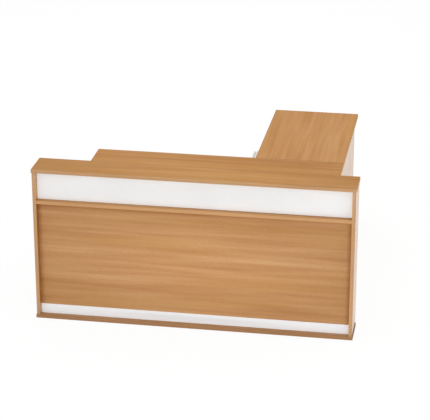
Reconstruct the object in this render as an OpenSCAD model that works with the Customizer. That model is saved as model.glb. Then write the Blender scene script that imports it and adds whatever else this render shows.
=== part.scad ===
// Checkout counter: a panelled front screen, an L-shaped desk behind it and a drawer pedestal at its inner corner.
// Millimetres, +Z up, customers at -Y. The origin is on the floor, under the middle of the overall box.

/* [Screen unit] */
// Overall width of the screen unit
counter_w = 2000; // [1600:10:2600]
// Height of the counter top above the floor
counter_h = 1000; // [920:5:1200]
// Depth of the counter top and of the base board
counter_d = 216; // [180:2:320]
// Thickness of the counter top and of the base board
top_t = 22; // [16:1:32]
// Thickness of the end panels
end_t = 22; // [16:1:32]
// Overhang of the top and the base board past the end panels
top_overhang = 4; // [0:1:20]
// Distance of the end panels and the rail behind the front edge of the top
front_setback = 3; // [0:1:12]
// Thickness of the niche floor, whose front edge is the rail
rail_t = 22; // [16:1:32]
// Rise of the niche floor above the desk top
shelf_rise = 36; // [30:1:70]
// Thickness of the dividers
divider_t = 18; // [12:1:24]
// Height of the glides under the base board
counter_glide_h = 3; // [2:1:10]
// Radius of the glides under the base board
counter_glide_r = 15; // [10:1:25]
// Distance of the glides from the edges of the base board
counter_glide_inset = 40; // [30:1:70]
// Number of glides along each long edge of the base board
counter_glide_count = 4; // [2:1:8]

/* [Front] */
// Distance of the sign panel and the kick strip behind the front edge of the top
front_recess = 37; // [20:1:60]
// Thickness of the front panel
front_panel_t = 18; // [12:1:25]
// Thickness of the white sign panel
sign_t = 6; // [3:1:10]
// Thickness of the board behind the sign panel
sign_backing_t = 16; // [10:1:25]
// Gap around the sign panel
sign_clearance = 1; // [0.5:0.1:3]
// Height of the kick strip
kick_h = 63; // [40:1:120]
// Thickness of the kick strip
kick_t = 4; // [2:1:8]

/* [Desk] */
// Height of the desk top above the floor
desk_h = 760; // [690:5:790]
// Distance of the desk top's left end from the end of the screen unit
desk_inset = 172; // [120:1:260]
// Depth of the desk top behind the screen unit
desk_d = 867; // [650:1:1000]
// Thickness of the desk top and of the return top
desk_t = 25; // [18:1:38]
// Thickness of the gables
gable_t = 25; // [22:1:32]
// Distance of the gables from the left, inner and rear edges of the tops
gable_inset = 30; // [10:1:60]
// Gap between the screen unit and the gables
gable_gap = 20; // [0:1:40]
// Gap between the floor and the gables
floor_gap = 20; // [14:1:40]
// Height of the stretcher between the gables
stretcher_h = 300; // [150:5:400]
// Thickness of the stretcher
stretcher_t = 18; // [12:1:25]
// Distance of the stretcher's top below the desk top
stretcher_drop = 60; // [50:1:120]
// Distance of the stretcher behind the ends of the gables
stretcher_inset = 10; // [0:1:40]

/* [Return] */
// Width of the return top
return_w = 585; // [520:5:750]
// Length of the return top behind the desk top
return_l = 1005; // [900:5:1300]
// Thickness of the side panel under the return's outer edge
side_panel_t = 18; // [12:1:25]
// Overhang of the tops past the side panel and the right gable
side_overhang = 20; // [5:1:60]

/* [Joining hardware] */
// Leg of the corner blocks
block_leg = 20; // [14:1:28]
// Length of the corner blocks
block_l = 36; // [24:1:48]
// Nose left on each leg of a corner block
block_nose = 8; // [4:1:12]
// Distance of the corner blocks from the ends of the boards that they join
block_end = 22; // [10:1:30]
// Length of the joining plates under the seam of the tops
plate_l = 140; // [80:5:200]
// Width of the joining plates
plate_w = 60; // [40:1:80]
// Thickness of the joining plates and the link angles
plate_t = 3; // [2:0.5:5]
// Number of joining plates
plate_count = 3; // [2:1:4]
// Leg of the link angles
angle_leg = 40; // [25:1:45]
// Length of the link angles on each side of the screen unit's back
angle_reach = 66; // [40:1:90]

/* [Cable ports] */
// Radius of the cable holes in the desk top
port_r = 30; // [25:1:40]
// Distance of the cable ports from the middle of the desk
port_x = 500; // [200:10:600]
// Distance of the cable ports behind the screen unit
port_y = 100; // [90:1:200]
// Gap between a liner and its hole
port_gap = 0.1; // [0.05:0.05:0.3]
// Wall of the liner around the cap
port_wall = 3; // [2:0.5:4]
// Width of the liner's flange past the hole
port_flange = 5; // [3:1:10]
// Height of the flange above the desk top
flange_h = 2.5; // [2:0.5:4]
// Width of the ledge that carries the cap
port_ledge = 3; // [2:0.5:5]
// Thickness of the cap
cap_t = 4; // [3:0.5:6]
// Gap around the cap
cap_gap = 0.3; // [0.2:0.05:0.5]
// Width of the cable slot in the cap
slot_w = 20; // [12:1:24]

/* [Levelling feet] */
// Radius of the foot pad
foot_r = 16; // [13:1:22]
// Height of the foot pad
foot_pad_h = 8; // [5:1:10]
// Width across the corners of the foot's hexagon
foot_hex_w = 15; // [12:1:20]
// Height of the foot's hexagon
foot_hex_h = 5; // [3:1:6]
// Radius of the foot's stem
stem_r = 4; // [3:0.5:5]
// Length of the stem above the foot pad
stem_l = 44; // [40:1:60]
// Gap between the stem and the insert
stem_gap = 0.05; // [0.02:0.01:0.1]
// Outer radius of the insert
insert_r = 6; // [5.5:0.5:8]
// Length of the insert
insert_l = 25; // [15:1:30]
// Gap between an insert and its hole
insert_gap = 0.02; // [0.01:0.01:0.1]
// Depth of the holes in the gables
foot_hole_l = 45; // [40:1:70]
// Distance of the feet from the ends of the gables
foot_end = 60; // [30:1:120]

/* [Pedestal] */
// Width of the pedestal
pedestal_w = 430; // [380:5:480]
// Distance that the pedestal reaches past the desk top, under the return
pedestal_reach = 217; // [180:1:260]
// Distance that the carcass stands out past the return's inner edge
pedestal_proud = 20; // [0:1:40]
// Gap between the pedestal and the corner blocks behind it
pedestal_back_gap = 7; // [2:1:30]
// Thickness of the carcass boards
panel_t = 18; // [12:1:22]
// Thickness of the back board
back_t = 12; // [6:1:18]
// Height of the pedestal's glides
pedestal_glide_h = 10; // [6:1:20]
// Radius of the pedestal's glides
pedestal_glide_r = 20; // [12:1:28]
// Distance of the glides from the edges of the carcass
pedestal_glide_inset = 40; // [30:1:70]
// Height of the lock rail under the pedestal's top
lock_rail_h = 20; // [16:1:24]

/* [Drawers] */
// Thickness of the drawer fronts
front_t = 18; // [14:1:22]
// Gap between the drawer fronts and the carcass
front_gap = 2; // [1:0.5:4]
// Distance of a front's ends inside the carcass sides
front_side_gap = 1; // [0:0.5:3]
// Gap between one front and the next, where fingers go in
finger_gap = 20; // [15:1:25]
// Distance of the top front below the underside of the tops
front_top_gap = 7; // [4:1:20]
// Distance of the lowest front above the bottom of the carcass
front_low_gap = 15; // [5:1:30]
// Height of the top front
top_front_h = 150; // [140:1:180]
// Height of the middle front
mid_front_h = 150; // [110:1:180]
// Height of the finger bevel behind a front's top edge
grip_h = 14; // [8:1:20]
// Depth of the finger bevel
grip_d = 10; // [5:1:11]
// Distance of a tray above the lower edge of its front
tray_lift = 16; // [10:1:24]
// Room above the top tray, up to the top edge of its front
top_headroom = 64; // [60:1:70]
// Room above the middle tray
mid_headroom = 28; // [15:1:40]
// Room above the lowest tray
file_headroom = 100; // [40:1:140]
// Thickness of the tray walls
tray_wall = 12; // [8:1:15]
// Thickness of the tray floors
tray_floor = 6; // [4:1:10]
// Distance of the tray floor above the tray's lower edge
tray_floor_up = 8; // [0:1:12]
// Room behind the trays
tray_end_gap = 48; // [20:1:100]

/* [Runners] */
// Height of the runners
runner_h = 45; // [35:1:46]
// Space for a runner on each side of a tray
runner_w = 13; // [12.5:0.5:16]
// Thickness of the runner's sheet steel
sheet_t = 1.2; // [0.8:0.1:1.5]
// Gap between the runner's members
runner_gap = 0.3; // [0.2:0.05:0.5]
// Height of the runner's middle above the tray's lower edge
runner_up = 30; // [24:1:34]
// Distance of the tracks behind the front edges of the carcass
track_inset = 1; // [0:0.5:10]

/* [Lock] */
// Radius of the lock barrel
lock_r = 8; // [6:0.5:9]
// Radius of the lock's head
lock_head_r = 11; // [10:0.5:14]
// Thickness of the lock's head
lock_head_t = 2; // [1:0.5:4]
// Gap between the barrel and the front
lock_gap = 0.05; // [0.02:0.01:0.1]
// Distance of the lock below the top edge of the top front
lock_drop = 46; // [44:1:50]
// Distance of the lock from the end of the front
lock_side = 60; // [40:1:120]
// Length of the cam from the lock's axis
cam_l = 28; // [26:1:30]
// Width of the cam
cam_w = 12; // [8:1:14]
// Thickness of the cam
cam_t = 3; // [2:0.5:4]
// Gap between the cam and the lock rail
cam_gap = 1; // [0.5:0.1:2]
// Length of the key slot
key_l = 9; // [6:0.5:11]
// Width of the key slot
key_w = 2; // [1:0.5:3]
// Depth of the key slot
key_d = 6; // [3:0.5:10]

/* [Hidden] */
$fn = 64;
cut = 1;

beech = [0.76, 0.57, 0.37];
white_board = [0.93, 0.93, 0.92];
white_strip = [0.88, 0.88, 0.89];
steel = [0.70, 0.71, 0.73];
grey_plastic = [0.55, 0.56, 0.58];
black_plastic = [0.12, 0.12, 0.13];

overall_d = counter_d + desk_d + return_l;

base_z = counter_glide_h + top_t;
top_z = counter_h - top_t;
niche_z = desk_h + shelf_rise;
rail_z = niche_z - rail_t;
end_out = counter_w / 2 - top_overhang;
end_in = end_out - end_t;
panel_y = front_recess + kick_t;
sign_back_y = front_recess + sign_t;
niche_divider_x = end_in / 3;

desk_under = desk_h - desk_t;
desk_x = counter_w / 2 - desk_inset;
desk_y = counter_d;
seam_y = desk_y + desk_d;
gable_out = desk_x - gable_inset;
gable_in = gable_out - gable_t;
gable_y = desk_y + gable_gap;
gable_end_y = seam_y - gable_inset;
stretcher_top = desk_under - stretcher_drop;
desk_right = gable_out + side_overhang;
return_x = desk_right - return_w;
return_y = overall_d;
end_gable_y = return_y - gable_inset - gable_t;
end_gable_x = return_x + gable_inset;
side_in = gable_out - side_panel_t;

carcass_x = return_x - pedestal_proud;
carcass_back = gable_in - block_leg - pedestal_back_gap;
pedestal_end = seam_y + pedestal_reach;
pedestal_y = pedestal_end - pedestal_w;
pedestal_h = desk_under - plate_t;
inner_y = pedestal_y + panel_t;
inner_end = pedestal_end - panel_t;
lock_rail_z = pedestal_h - panel_t - lock_rail_h;

front_x = carcass_x - front_gap;
tray_l = carcass_back - back_t - tray_end_gap - front_x;
tray_y = inner_y + runner_w;
tray_end = inner_end - runner_w;
top_front_z = desk_under - front_top_gap - top_front_h;
mid_front_z = top_front_z - finger_gap - mid_front_h;
file_front_z = pedestal_glide_h + front_low_gap;
file_front_h = mid_front_z - finger_gap - file_front_z;
drawer_z = [top_front_z, mid_front_z, file_front_z];
drawer_front_h = [top_front_h, mid_front_h, file_front_h];
drawer_headroom = [top_headroom, mid_headroom, file_headroom];
member_step = sheet_t + runner_gap;

lock_y = pedestal_y + front_side_gap + lock_side;
lock_z = top_front_z + top_front_h - lock_drop;
cam_x = carcass_x + panel_t + cam_gap;

left_feet = [[-gable_in - gable_t / 2, gable_y + foot_end], [-gable_in - gable_t / 2, gable_end_y - foot_end]];
right_feet = [[gable_in + gable_t / 2, gable_y + foot_end], [gable_in + gable_t / 2, gable_end_y - foot_end]];
end_feet = [for (x = [end_gable_x + foot_end, gable_out - foot_end]) [x, end_gable_y + gable_t / 2]];

// Shared shapes

// A board between two opposite corners
module board(low, high) {
    translate(low)
        cube(high - low);
}

// The right-hand piece, or its mirror image on the left
module on_side(side) {
    mirror([side < 0 ? 1 : 0, 0, 0])
        children();
}

// A corner block along Y, with its square corner on the Y axis and its legs along -X and +Z
module corner_block() {
    outline = [[0, 0], [-block_leg, 0], [-block_leg, block_nose], [-block_nose, block_leg], [0, block_leg]];
    translate([0, block_l, 0])
        rotate([90, 0, 0])
            linear_extrude(block_l)
                polygon(outline);
}

// The same block hanging under a board
module hanging_block() {
    mirror([0, 0, 1])
        corner_block();
}

// A C section of sheet steel, open towards +X
module channel(height, depth) {
    h = height / 2;
    inner = h - sheet_t;
    polygon([[0, -h], [depth, -h], [depth, -inner], [sheet_t, -inner], [sheet_t, inner], [depth, inner],
        [depth, h], [0, h]]);
}

// Screen unit

module base_board() {
    color(beech)
        board([-counter_w / 2, 0, counter_glide_h], [counter_w / 2, counter_d, base_z]);
}

module counter_top() {
    color(beech)
        board([-counter_w / 2, 0, top_z], [counter_w / 2, counter_d, counter_h]);
}

module end_panel(side) {
    color(beech)
        on_side(side)
            board([end_in, front_setback, base_z], [end_out, counter_d, top_z]);
}

module niche_floor() {
    color(beech)
        board([-end_in, front_setback, rail_z], [end_in, counter_d, niche_z]);
}

module sign_panel() {
    half = end_in - sign_clearance;
    color(white_board)
        board([-half, front_recess, niche_z + sign_clearance], [half, sign_back_y, top_z - sign_clearance]);
}

module sign_backing() {
    color(beech)
        board([-end_in, sign_back_y, niche_z], [end_in, sign_back_y + sign_backing_t, top_z]);
}

module front_panel() {
    color(beech)
        board([-end_in, panel_y, base_z], [end_in, panel_y + front_panel_t, rail_z]);
}

module kick_strip() {
    color(white_strip)
        board([-end_in, front_recess, base_z], [end_in, panel_y, base_z + kick_h]);
}

module niche_divider(side) {
    back = sign_back_y + sign_backing_t;
    color(beech)
        on_side(side)
            board([niche_divider_x - divider_t / 2, back, niche_z], [niche_divider_x + divider_t / 2, counter_d, top_z]);
}

// The lower dividers stand in line with the inner faces of the desk's gables
module lower_divider(side) {
    color(beech)
        on_side(side)
            board([gable_in, panel_y + front_panel_t, base_z], [gable_in + divider_t, counter_d, rail_z]);
}

// Blocks at both ends of each joint between an end panel or lower divider and the boards above and below it
module counter_corner_blocks() {
    color(white_board)
        for (side = [-1, 1])
            on_side(side)
                for (y = [panel_y + front_panel_t + block_end, counter_d - block_end - block_l]) {
                    translate([end_in, y, base_z])
                        corner_block();
                    translate([end_in, y, rail_z])
                        hanging_block();
                    translate([end_in, y, top_z])
                        hanging_block();
                    translate([gable_in, y, base_z])
                        corner_block();
                }
}

module counter_glides() {
    reach = counter_w / 2 - counter_glide_inset;
    step = 2 * reach / (counter_glide_count - 1);
    color(black_plastic)
        for (i = [0 : counter_glide_count - 1])
            for (y = [counter_glide_inset, counter_d - counter_glide_inset])
                translate([-reach + i * step, y, 0])
                    cylinder(r = counter_glide_r, h = counter_glide_h);
}

// Desk and return

module desk_top() {
    color(beech)
        difference() {
            board([-desk_x, desk_y, desk_under], [desk_right, seam_y, desk_h]);
            for (side = [-1, 1])
                translate([side * port_x, desk_y + port_y, desk_under - cut])
                    cylinder(r = port_r, h = desk_t + 2 * cut);
        }
}

module return_top() {
    color(beech)
        board([return_x, seam_y, desk_under], [desk_right, return_y, desk_h]);
}

module foot_holes(places) {
    for (p = places)
        translate([p.x, p.y, floor_gap - cut])
            cylinder(r = insert_r + insert_gap, h = foot_hole_l + cut);
}

module desk_left_gable() {
    color(beech)
        difference() {
            board([-gable_out, gable_y, floor_gap], [-gable_in, gable_end_y, desk_under]);
            foot_holes(left_feet);
        }
}

module desk_right_gable() {
    color(beech)
        difference() {
            board([gable_in, gable_y, floor_gap], [gable_out, gable_end_y, desk_under]);
            foot_holes(right_feet);
        }
}

module desk_stretcher() {
    y = gable_y + stretcher_inset;
    color(beech)
        board([-gable_in, y, stretcher_top - stretcher_h], [gable_in, y + stretcher_t, stretcher_top]);
}

module return_end_gable() {
    color(beech)
        difference() {
            board([end_gable_x, end_gable_y, floor_gap], [gable_out, end_gable_y + gable_t, desk_under]);
            foot_holes(end_feet);
        }
}

module return_side_panel() {
    color(beech)
        board([side_in, gable_end_y, floor_gap], [gable_out, end_gable_y, desk_under]);
}

module joining_plates() {
    span = gable_in - return_x;
    step = span / plate_count;
    color(steel)
        for (i = [0 : plate_count - 1])
            translate([return_x + (i + 0.5) * step - plate_w / 2, seam_y - plate_l / 2, desk_under - plate_t])
                cube([plate_w, plate_l, plate_t]);
}

// An angle along the inner faces of a lower divider and a gable, with its upper leg under the desk top
module link_angles() {
    color(steel)
        for (side = [-1, 1])
            on_side(side)
                translate([gable_in, desk_y + gable_gap + angle_reach, desk_under])
                    rotate([90, 0, 0])
                        linear_extrude(gable_gap + 2 * angle_reach)
                            polygon([[0, 0], [-angle_leg, 0], [-angle_leg, -plate_t], [-plate_t, -plate_t],
                                [-plate_t, -angle_leg], [0, -angle_leg]]);
}

module desk_corner_blocks() {
    color(white_board) {
        for (side = [-1, 1])
            on_side(side)
                for (y = [desk_y + desk_d / 3, gable_end_y - block_end - block_l])
                    translate([gable_in, y, desk_under])
                        hanging_block();
        for (y = [seam_y + block_end, end_gable_y - block_end - block_l - block_leg])
            translate([side_in, y, desk_under])
                hanging_block();
        for (x = [end_gable_x + block_end, side_in - block_end - block_l - block_leg])
            translate([x + block_l, end_gable_y, desk_under])
                rotate([0, 0, 90])
                    hanging_block();
    }
}

module foot_inserts() {
    color(steel)
        for (p = concat(left_feet, right_feet, end_feet))
            translate([p.x, p.y, floor_gap])
                difference() {
                    cylinder(r = insert_r, h = insert_l);
                    translate([0, 0, -cut])
                        cylinder(r = stem_r + stem_gap, h = insert_l + 2 * cut);
                }
}

// A levelling foot: a tapered pad, a hexagon for the spanner and a stem that turns in its insert
module foot(place) {
    taper = foot_pad_h / 2;
    color(black_plastic)
        translate([place.x, place.y, 0]) {
            rotate_extrude()
                polygon([[0, 0], [foot_r, 0], [foot_r, taper], [foot_hex_w / 2, foot_pad_h], [0, foot_pad_h]]);
            translate([0, 0, foot_pad_h])
                cylinder(d = foot_hex_w, h = foot_hex_h, $fn = 6);
            translate([0, 0, foot_pad_h])
                cylinder(r = stem_r, h = stem_l);
        }
}

// Cable ports

module port_place(side) {
    translate([side * port_x, desk_y + port_y, desk_h])
        children();
}

// A flanged sleeve with a ledge that carries the cap
module cable_port_liner(side) {
    sleeve_r = port_r - port_gap;
    seat_r = port_r - port_wall;
    ledge_r = seat_r - port_ledge;
    flange_r = port_r + port_flange;
    ledge_z = flange_h - cap_t;
    color(grey_plastic)
        port_place(side)
            rotate_extrude()
                polygon([[ledge_r, -desk_t], [sleeve_r, -desk_t], [sleeve_r, 0], [flange_r, 0],
                    [flange_r, flange_h / 2], [flange_r - flange_h / 2, flange_h], [seat_r, flange_h],
                    [seat_r, ledge_z], [ledge_r, ledge_z]]);
}

// The cap's slot opens at its rim, with a round inner end
module cable_port_cap(side) {
    cap_r = port_r - port_wall - cap_gap;
    slot_end = cap_r / 2;
    color(grey_plastic)
        port_place(side)
            translate([0, 0, flange_h - cap_t])
                difference() {
                    cylinder(r = cap_r, h = cap_t);
                    translate([0, -slot_end, -cut])
                        cylinder(d = slot_w, h = cap_t + 2 * cut);
                    translate([-slot_w / 2, -slot_end - port_r, -cut])
                        cube([slot_w, port_r, cap_t + 2 * cut]);
                }
}

// Pedestal

module pedestal_side(y) {
    color(white_board)
        board([carcass_x, y, pedestal_glide_h], [carcass_back, y + panel_t, pedestal_h]);
}

module pedestal_top() {
    color(white_board)
        board([carcass_x, inner_y, pedestal_h - panel_t], [carcass_back, inner_end, pedestal_h]);
}

module pedestal_base() {
    color(white_board)
        board([carcass_x, inner_y, pedestal_glide_h], [carcass_back, inner_end, pedestal_glide_h + panel_t]);
}

module pedestal_back() {
    color(white_board)
        board([carcass_back - back_t, inner_y, pedestal_glide_h + panel_t],
            [carcass_back, inner_end, pedestal_h - panel_t]);
}

module pedestal_lock_rail() {
    color(white_board)
        board([carcass_x, inner_y, lock_rail_z], [carcass_x + panel_t, inner_end, lock_rail_z + lock_rail_h]);
}

module pedestal_glides() {
    color(black_plastic)
        for (x = [carcass_x + pedestal_glide_inset, carcass_back - pedestal_glide_inset])
            for (y = [pedestal_y + pedestal_glide_inset, pedestal_end - pedestal_glide_inset])
                translate([x, y, 0])
                    cylinder(r = pedestal_glide_r, h = pedestal_glide_h);
}

// Drawers, numbered from the top

// A front with a bevel behind its top edge for the fingers
module drawer_front_board(i) {
    h = drawer_front_h[i];
    translate([front_x - front_t, pedestal_end - front_side_gap, drawer_z[i]])
        rotate([90, 0, 0])
            linear_extrude(pedestal_w - 2 * front_side_gap)
                polygon([[0, 0], [front_t, 0], [front_t, h - grip_h], [front_t - grip_d, h], [0, h]]);
}

module plain_drawer_front(i) {
    color(white_board)
        drawer_front_board(i);
}

module lock_axis() {
    translate([0, lock_y, lock_z])
        rotate([0, 90, 0])
            children();
}

module top_drawer_front() {
    color(white_board)
        difference() {
            drawer_front_board(0);
            lock_axis()
                translate([0, 0, front_x - front_t - cut])
                    cylinder(r = lock_r + lock_gap, h = front_t + 2 * cut);
        }
}

// A box with its floor let in above the lower edge of its walls
module drawer_tray(i) {
    low = drawer_z[i] + tray_lift;
    high = drawer_z[i] + drawer_front_h[i] - drawer_headroom[i];
    floor_low = low + tray_floor_up;
    wall = [tray_wall, tray_wall, 0];
    corner = [front_x, tray_y, 0];
    far = [front_x + tray_l, tray_end, 0];
    color(white_board)
        difference() {
            board([corner.x, corner.y, low], [far.x, far.y, high]);
            board(corner + wall + [0, 0, floor_low + tray_floor], far - wall + [0, 0, high + cut]);
            board(corner + wall + [0, 0, low - cut], far - wall + [0, 0, floor_low]);
        }
}

// One runner member on each side of a tray: a section drawn from the carcass side inwards, run along X
module runner_pair(i, start) {
    z = drawer_z[i] + tray_lift + runner_up;
    for (flip = [0, 1])
        translate([start, flip ? inner_end : inner_y, z])
            mirror([0, flip, 0])
                rotate([90, 0, 90])
                    linear_extrude(tray_l)
                        children();
}

module runner_tracks() {
    color(steel)
        for (i = [0 : 2])
            runner_pair(i, carcass_x + track_inset)
                channel(runner_h, runner_w - 2 * sheet_t);
}

module runner_middles(i) {
    color(steel)
        runner_pair(i, carcass_x + track_inset)
            translate([member_step, 0])
                channel(runner_h - 2 * member_step, runner_w - 2 * member_step);
}

module drawer_rails(i) {
    color(steel)
        runner_pair(i, front_x)
            translate([runner_w, 0])
                mirror([1, 0])
                    channel(runner_h - 4 * member_step, runner_w - 2 * member_step);
}

// Lock

module lock_barrel() {
    face = front_x - front_t;
    color(steel)
        lock_axis()
            difference() {
                union() {
                    translate([0, 0, face - lock_head_t])
                        cylinder(r = lock_head_r, h = lock_head_t);
                    translate([0, 0, face])
                        cylinder(r = lock_r, h = cam_x - face);
                }
                translate([-key_l / 2, -key_w / 2, face - lock_head_t - cut])
                    cube([key_l, key_w, key_d + cut]);
            }
}

// Unlocked, the cam lies flat; a quarter turn stands it up behind the lock rail
module lock_cam() {
    color(steel)
        translate([cam_x, lock_y, lock_z])
            rotate([90, 0, 90])
                linear_extrude(cam_t) {
                    circle(d = cam_w);
                    translate([0, -cam_w / 2])
                        square([cam_l, cam_w]);
                }
}

// Every piece, moved so that the origin lies under the middle of the overall box
module placed() {
    translate([0, -overall_d / 2, 0])
        children();
}

placed() base_board();
placed() counter_top();
placed() end_panel(-1);  // left_end_panel
placed() end_panel(1);  // right_end_panel
placed() niche_floor();
placed() sign_panel();
placed() sign_backing();
placed() front_panel();
placed() kick_strip();
placed() niche_divider(-1);  // niche_divider_left
placed() niche_divider(1);  // niche_divider_right
placed() lower_divider(-1);  // lower_divider_left
placed() lower_divider(1);  // lower_divider_right
placed() counter_corner_blocks();
placed() counter_glides();
placed() desk_top();
placed() return_top();
placed() desk_left_gable();
placed() desk_right_gable();
placed() desk_stretcher();
placed() return_end_gable();
placed() return_side_panel();
placed() joining_plates();
placed() link_angles();
placed() desk_corner_blocks();
placed() foot_inserts();
placed() cable_port_liner(-1);  // cable_port_liner_left
placed() cable_port_liner(1);  // cable_port_liner_right
placed() cable_port_cap(-1);  // cable_port_cap_left
placed() cable_port_cap(1);  // cable_port_cap_right
placed() foot(left_feet[0]);  // foot_left_front
placed() foot(left_feet[1]);  // foot_left_rear
placed() foot(right_feet[0]);  // foot_right_front
placed() foot(right_feet[1]);  // foot_right_rear
placed() foot(end_feet[0]);  // foot_end_inner
placed() foot(end_feet[1]);  // foot_end_outer
placed() pedestal_side(pedestal_y);  // pedestal_desk_side
placed() pedestal_side(inner_end);  // pedestal_end_side
placed() pedestal_top();
placed() pedestal_base();
placed() pedestal_back();
placed() pedestal_lock_rail();
placed() pedestal_glides();
placed() runner_tracks();
placed() top_drawer_front();
placed() drawer_tray(0);  // top_drawer_tray
placed() drawer_rails(0);  // top_drawer_rails
placed() runner_middles(0);  // top_runner_middles
placed() plain_drawer_front(1);  // middle_drawer_front
placed() drawer_tray(1);  // middle_drawer_tray
placed() drawer_rails(1);  // middle_drawer_rails
placed() runner_middles(1);  // middle_runner_middles
placed() plain_drawer_front(2);  // file_drawer_front
placed() drawer_tray(2);  // file_drawer_tray
placed() drawer_rails(2);  // file_drawer_rails
placed() runner_middles(2);  // file_runner_middles
placed() lock_barrel();
placed() lock_cam();
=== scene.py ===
import math
from collections import namedtuple

import bmesh
import bpy
from mathutils import Matrix, Vector


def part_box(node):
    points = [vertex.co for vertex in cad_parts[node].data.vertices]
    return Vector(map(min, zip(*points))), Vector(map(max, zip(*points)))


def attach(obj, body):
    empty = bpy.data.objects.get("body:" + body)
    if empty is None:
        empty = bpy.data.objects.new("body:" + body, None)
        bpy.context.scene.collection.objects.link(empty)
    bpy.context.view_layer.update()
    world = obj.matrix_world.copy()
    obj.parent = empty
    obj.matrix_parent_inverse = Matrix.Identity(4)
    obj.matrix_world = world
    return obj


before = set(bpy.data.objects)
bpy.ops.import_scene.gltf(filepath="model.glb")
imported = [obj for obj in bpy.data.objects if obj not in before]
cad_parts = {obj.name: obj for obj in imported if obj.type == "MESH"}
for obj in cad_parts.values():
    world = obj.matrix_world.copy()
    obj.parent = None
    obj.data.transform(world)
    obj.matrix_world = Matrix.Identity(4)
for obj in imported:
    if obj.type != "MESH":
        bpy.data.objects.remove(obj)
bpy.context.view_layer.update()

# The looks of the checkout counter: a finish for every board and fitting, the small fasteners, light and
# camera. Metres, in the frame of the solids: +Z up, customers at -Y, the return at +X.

MM = 0.001
Z_AXIS = Vector((0, 0, 1))
scene = bpy.context.scene

# The curve from screen values to light: a straight foot, then a power
SCREEN_TOP = 255
CURVE_FOOT = 0.04045
FOOT_SLOPE = 12.92
CURVE_OFFSET = 0.055
CURVE_POWER = 2.4


def even(value):
    """The same value for all three axes or channels."""
    return (value,) * 3


def srgb(red, green, blue):
    """A colour given as screen values from 0 to 255, as linear light with full opacity."""
    linear = []
    for value in (red, green, blue):
        share = value / SCREEN_TOP
        if share <= CURVE_FOOT:
            linear.append(share / FOOT_SLOPE)
        else:
            linear.append(((share + CURVE_OFFSET) / (1 + CURVE_OFFSET)) ** CURVE_POWER)
    return (*linear, 1.0)


def tinted(colour, shade):
    """A colour with each of its channels scaled."""
    return tuple(channel * scale for channel, scale in zip(colour, shade)) + (1.0,)


# Colours

WHITE = (1.0, 1.0, 1.0, 1.0)
BEECH_DEEP = srgb(170, 117, 71)
BEECH_MIDDLE = srgb(195, 144, 97)
BEECH_PALE = srgb(212, 166, 119)
BEECH_YELLOW = srgb(198, 150, 90)
BEECH_FLECK = srgb(128, 82, 48)
BEECH_ARRIS = srgb(221, 180, 138)
BEECH_EDGING = srgb(206, 158, 115)
WHITE_FACE = srgb(247, 247, 245)
WHITE_GREY = srgb(241, 241, 239)
WHITE_ARRIS = srgb(250, 250, 249)
GLUE_GREY = srgb(120, 112, 104)
ACRYLIC_WHITE = srgb(246, 246, 246)
ACRYLIC_CLOUD = srgb(242, 243, 243)
LACQUER_PALE = srgb(250, 252, 255)
LACQUER_GREY = srgb(244, 247, 250)
ZINC_PALE = srgb(203, 205, 208)
ZINC_DARK = srgb(168, 171, 176)
CHROME = srgb(222, 223, 225)
PORT_GREY = srgb(143, 145, 149)
GLIDE_BLACK = srgb(38, 38, 40)
BLOCK_WHITE = srgb(225, 225, 221)
COVER_BROWN = srgb(176, 125, 80)
BUMPER_CLEAR = srgb(205, 208, 210)

# Shader nodes

# Places of the sockets on a node that mixes colours: its factor and two colours, and its result
MIX_INPUTS = (0, 6, 7)
MIX_RESULT = 2

# Noise marks: their sizes along the three axes, and the detail and distortion of their outlines
Marks = namedtuple("Marks", "sizes detail distortion", defaults=[0.0])
# What the value of a noise mostly lies between
NOISE_RANGE = (0.35, 0.65)


def set_input(tree, socket, value):
    """Links a socket to the output of another node, or sets it to a plain value."""
    if isinstance(value, bpy.types.NodeSocket):
        tree.links.new(value, socket)
    else:
        socket.default_value = value


def add(tree, kind, inputs=None, **settings):
    """A shader node with its settings, and its inputs set to values or linked to other nodes' sockets."""
    node = tree.nodes.new(kind)
    for name, value in settings.items():
        setattr(node, name, value)
    for name, value in (inputs or {}).items():
        set_input(tree, node.inputs[name], value)
    return node


def maths(tree, operation, *values):
    """The result of a calculation with numbers."""
    return add(tree, "ShaderNodeMath", dict(enumerate(values)), operation=operation).outputs[0]


def times(tree, first, second):
    """The product of two numbers."""
    return maths(tree, "MULTIPLY", first, second)


def vector_maths(tree, operation, *values):
    """The result of a calculation with vectors."""
    return add(tree, "ShaderNodeVectorMath", dict(enumerate(values)), operation=operation).outputs[0]


def split(tree, vector):
    """The three parts of a vector."""
    return add(tree, "ShaderNodeSeparateXYZ", {"Vector": vector}).outputs


def ramp(tree, value, low, high, start=0.0, end=1.0):
    """A value carried over from low..high to start..end, and held at the ends."""
    inputs = {"Value": value, "From Min": low, "From Max": high, "To Min": start, "To Max": end}
    return add(tree, "ShaderNodeMapRange", inputs).outputs[0]


def fade(tree, value, low, high):
    """1 up to low, and 0 from high on."""
    return ramp(tree, value, low, high, 1.0, 0.0)


def mix(tree, factor, first, second, blend="MIX"):
    """A blend of two colours."""
    inputs = dict(zip(MIX_INPUTS, (factor, first, second)))
    return add(tree, "ShaderNodeMix", inputs, data_type="RGBA", blend_type=blend).outputs[MIX_RESULT]


def shaded(tree, colour, shade):
    """A colour multiplied by a number or by another colour."""
    return mix(tree, 1.0, colour, shade, "MULTIPLY")


def drawn_out(length, width):
    """The sizes of marks that are long along X."""
    return (length, width, width)


def noise(tree, coords, marks):
    """A noise from 0 to 1 with marks of a kind."""
    scale = [1 / size for size in marks.sizes]
    stretched = add(tree, "ShaderNodeMapping", {"Vector": coords, "Scale": scale}).outputs[0]
    inputs = {"Vector": stretched, "Scale": 1.0, "Detail": marks.detail, "Distortion": marks.distortion}
    return add(tree, "ShaderNodeTexNoise", inputs).outputs["Fac"]


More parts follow.
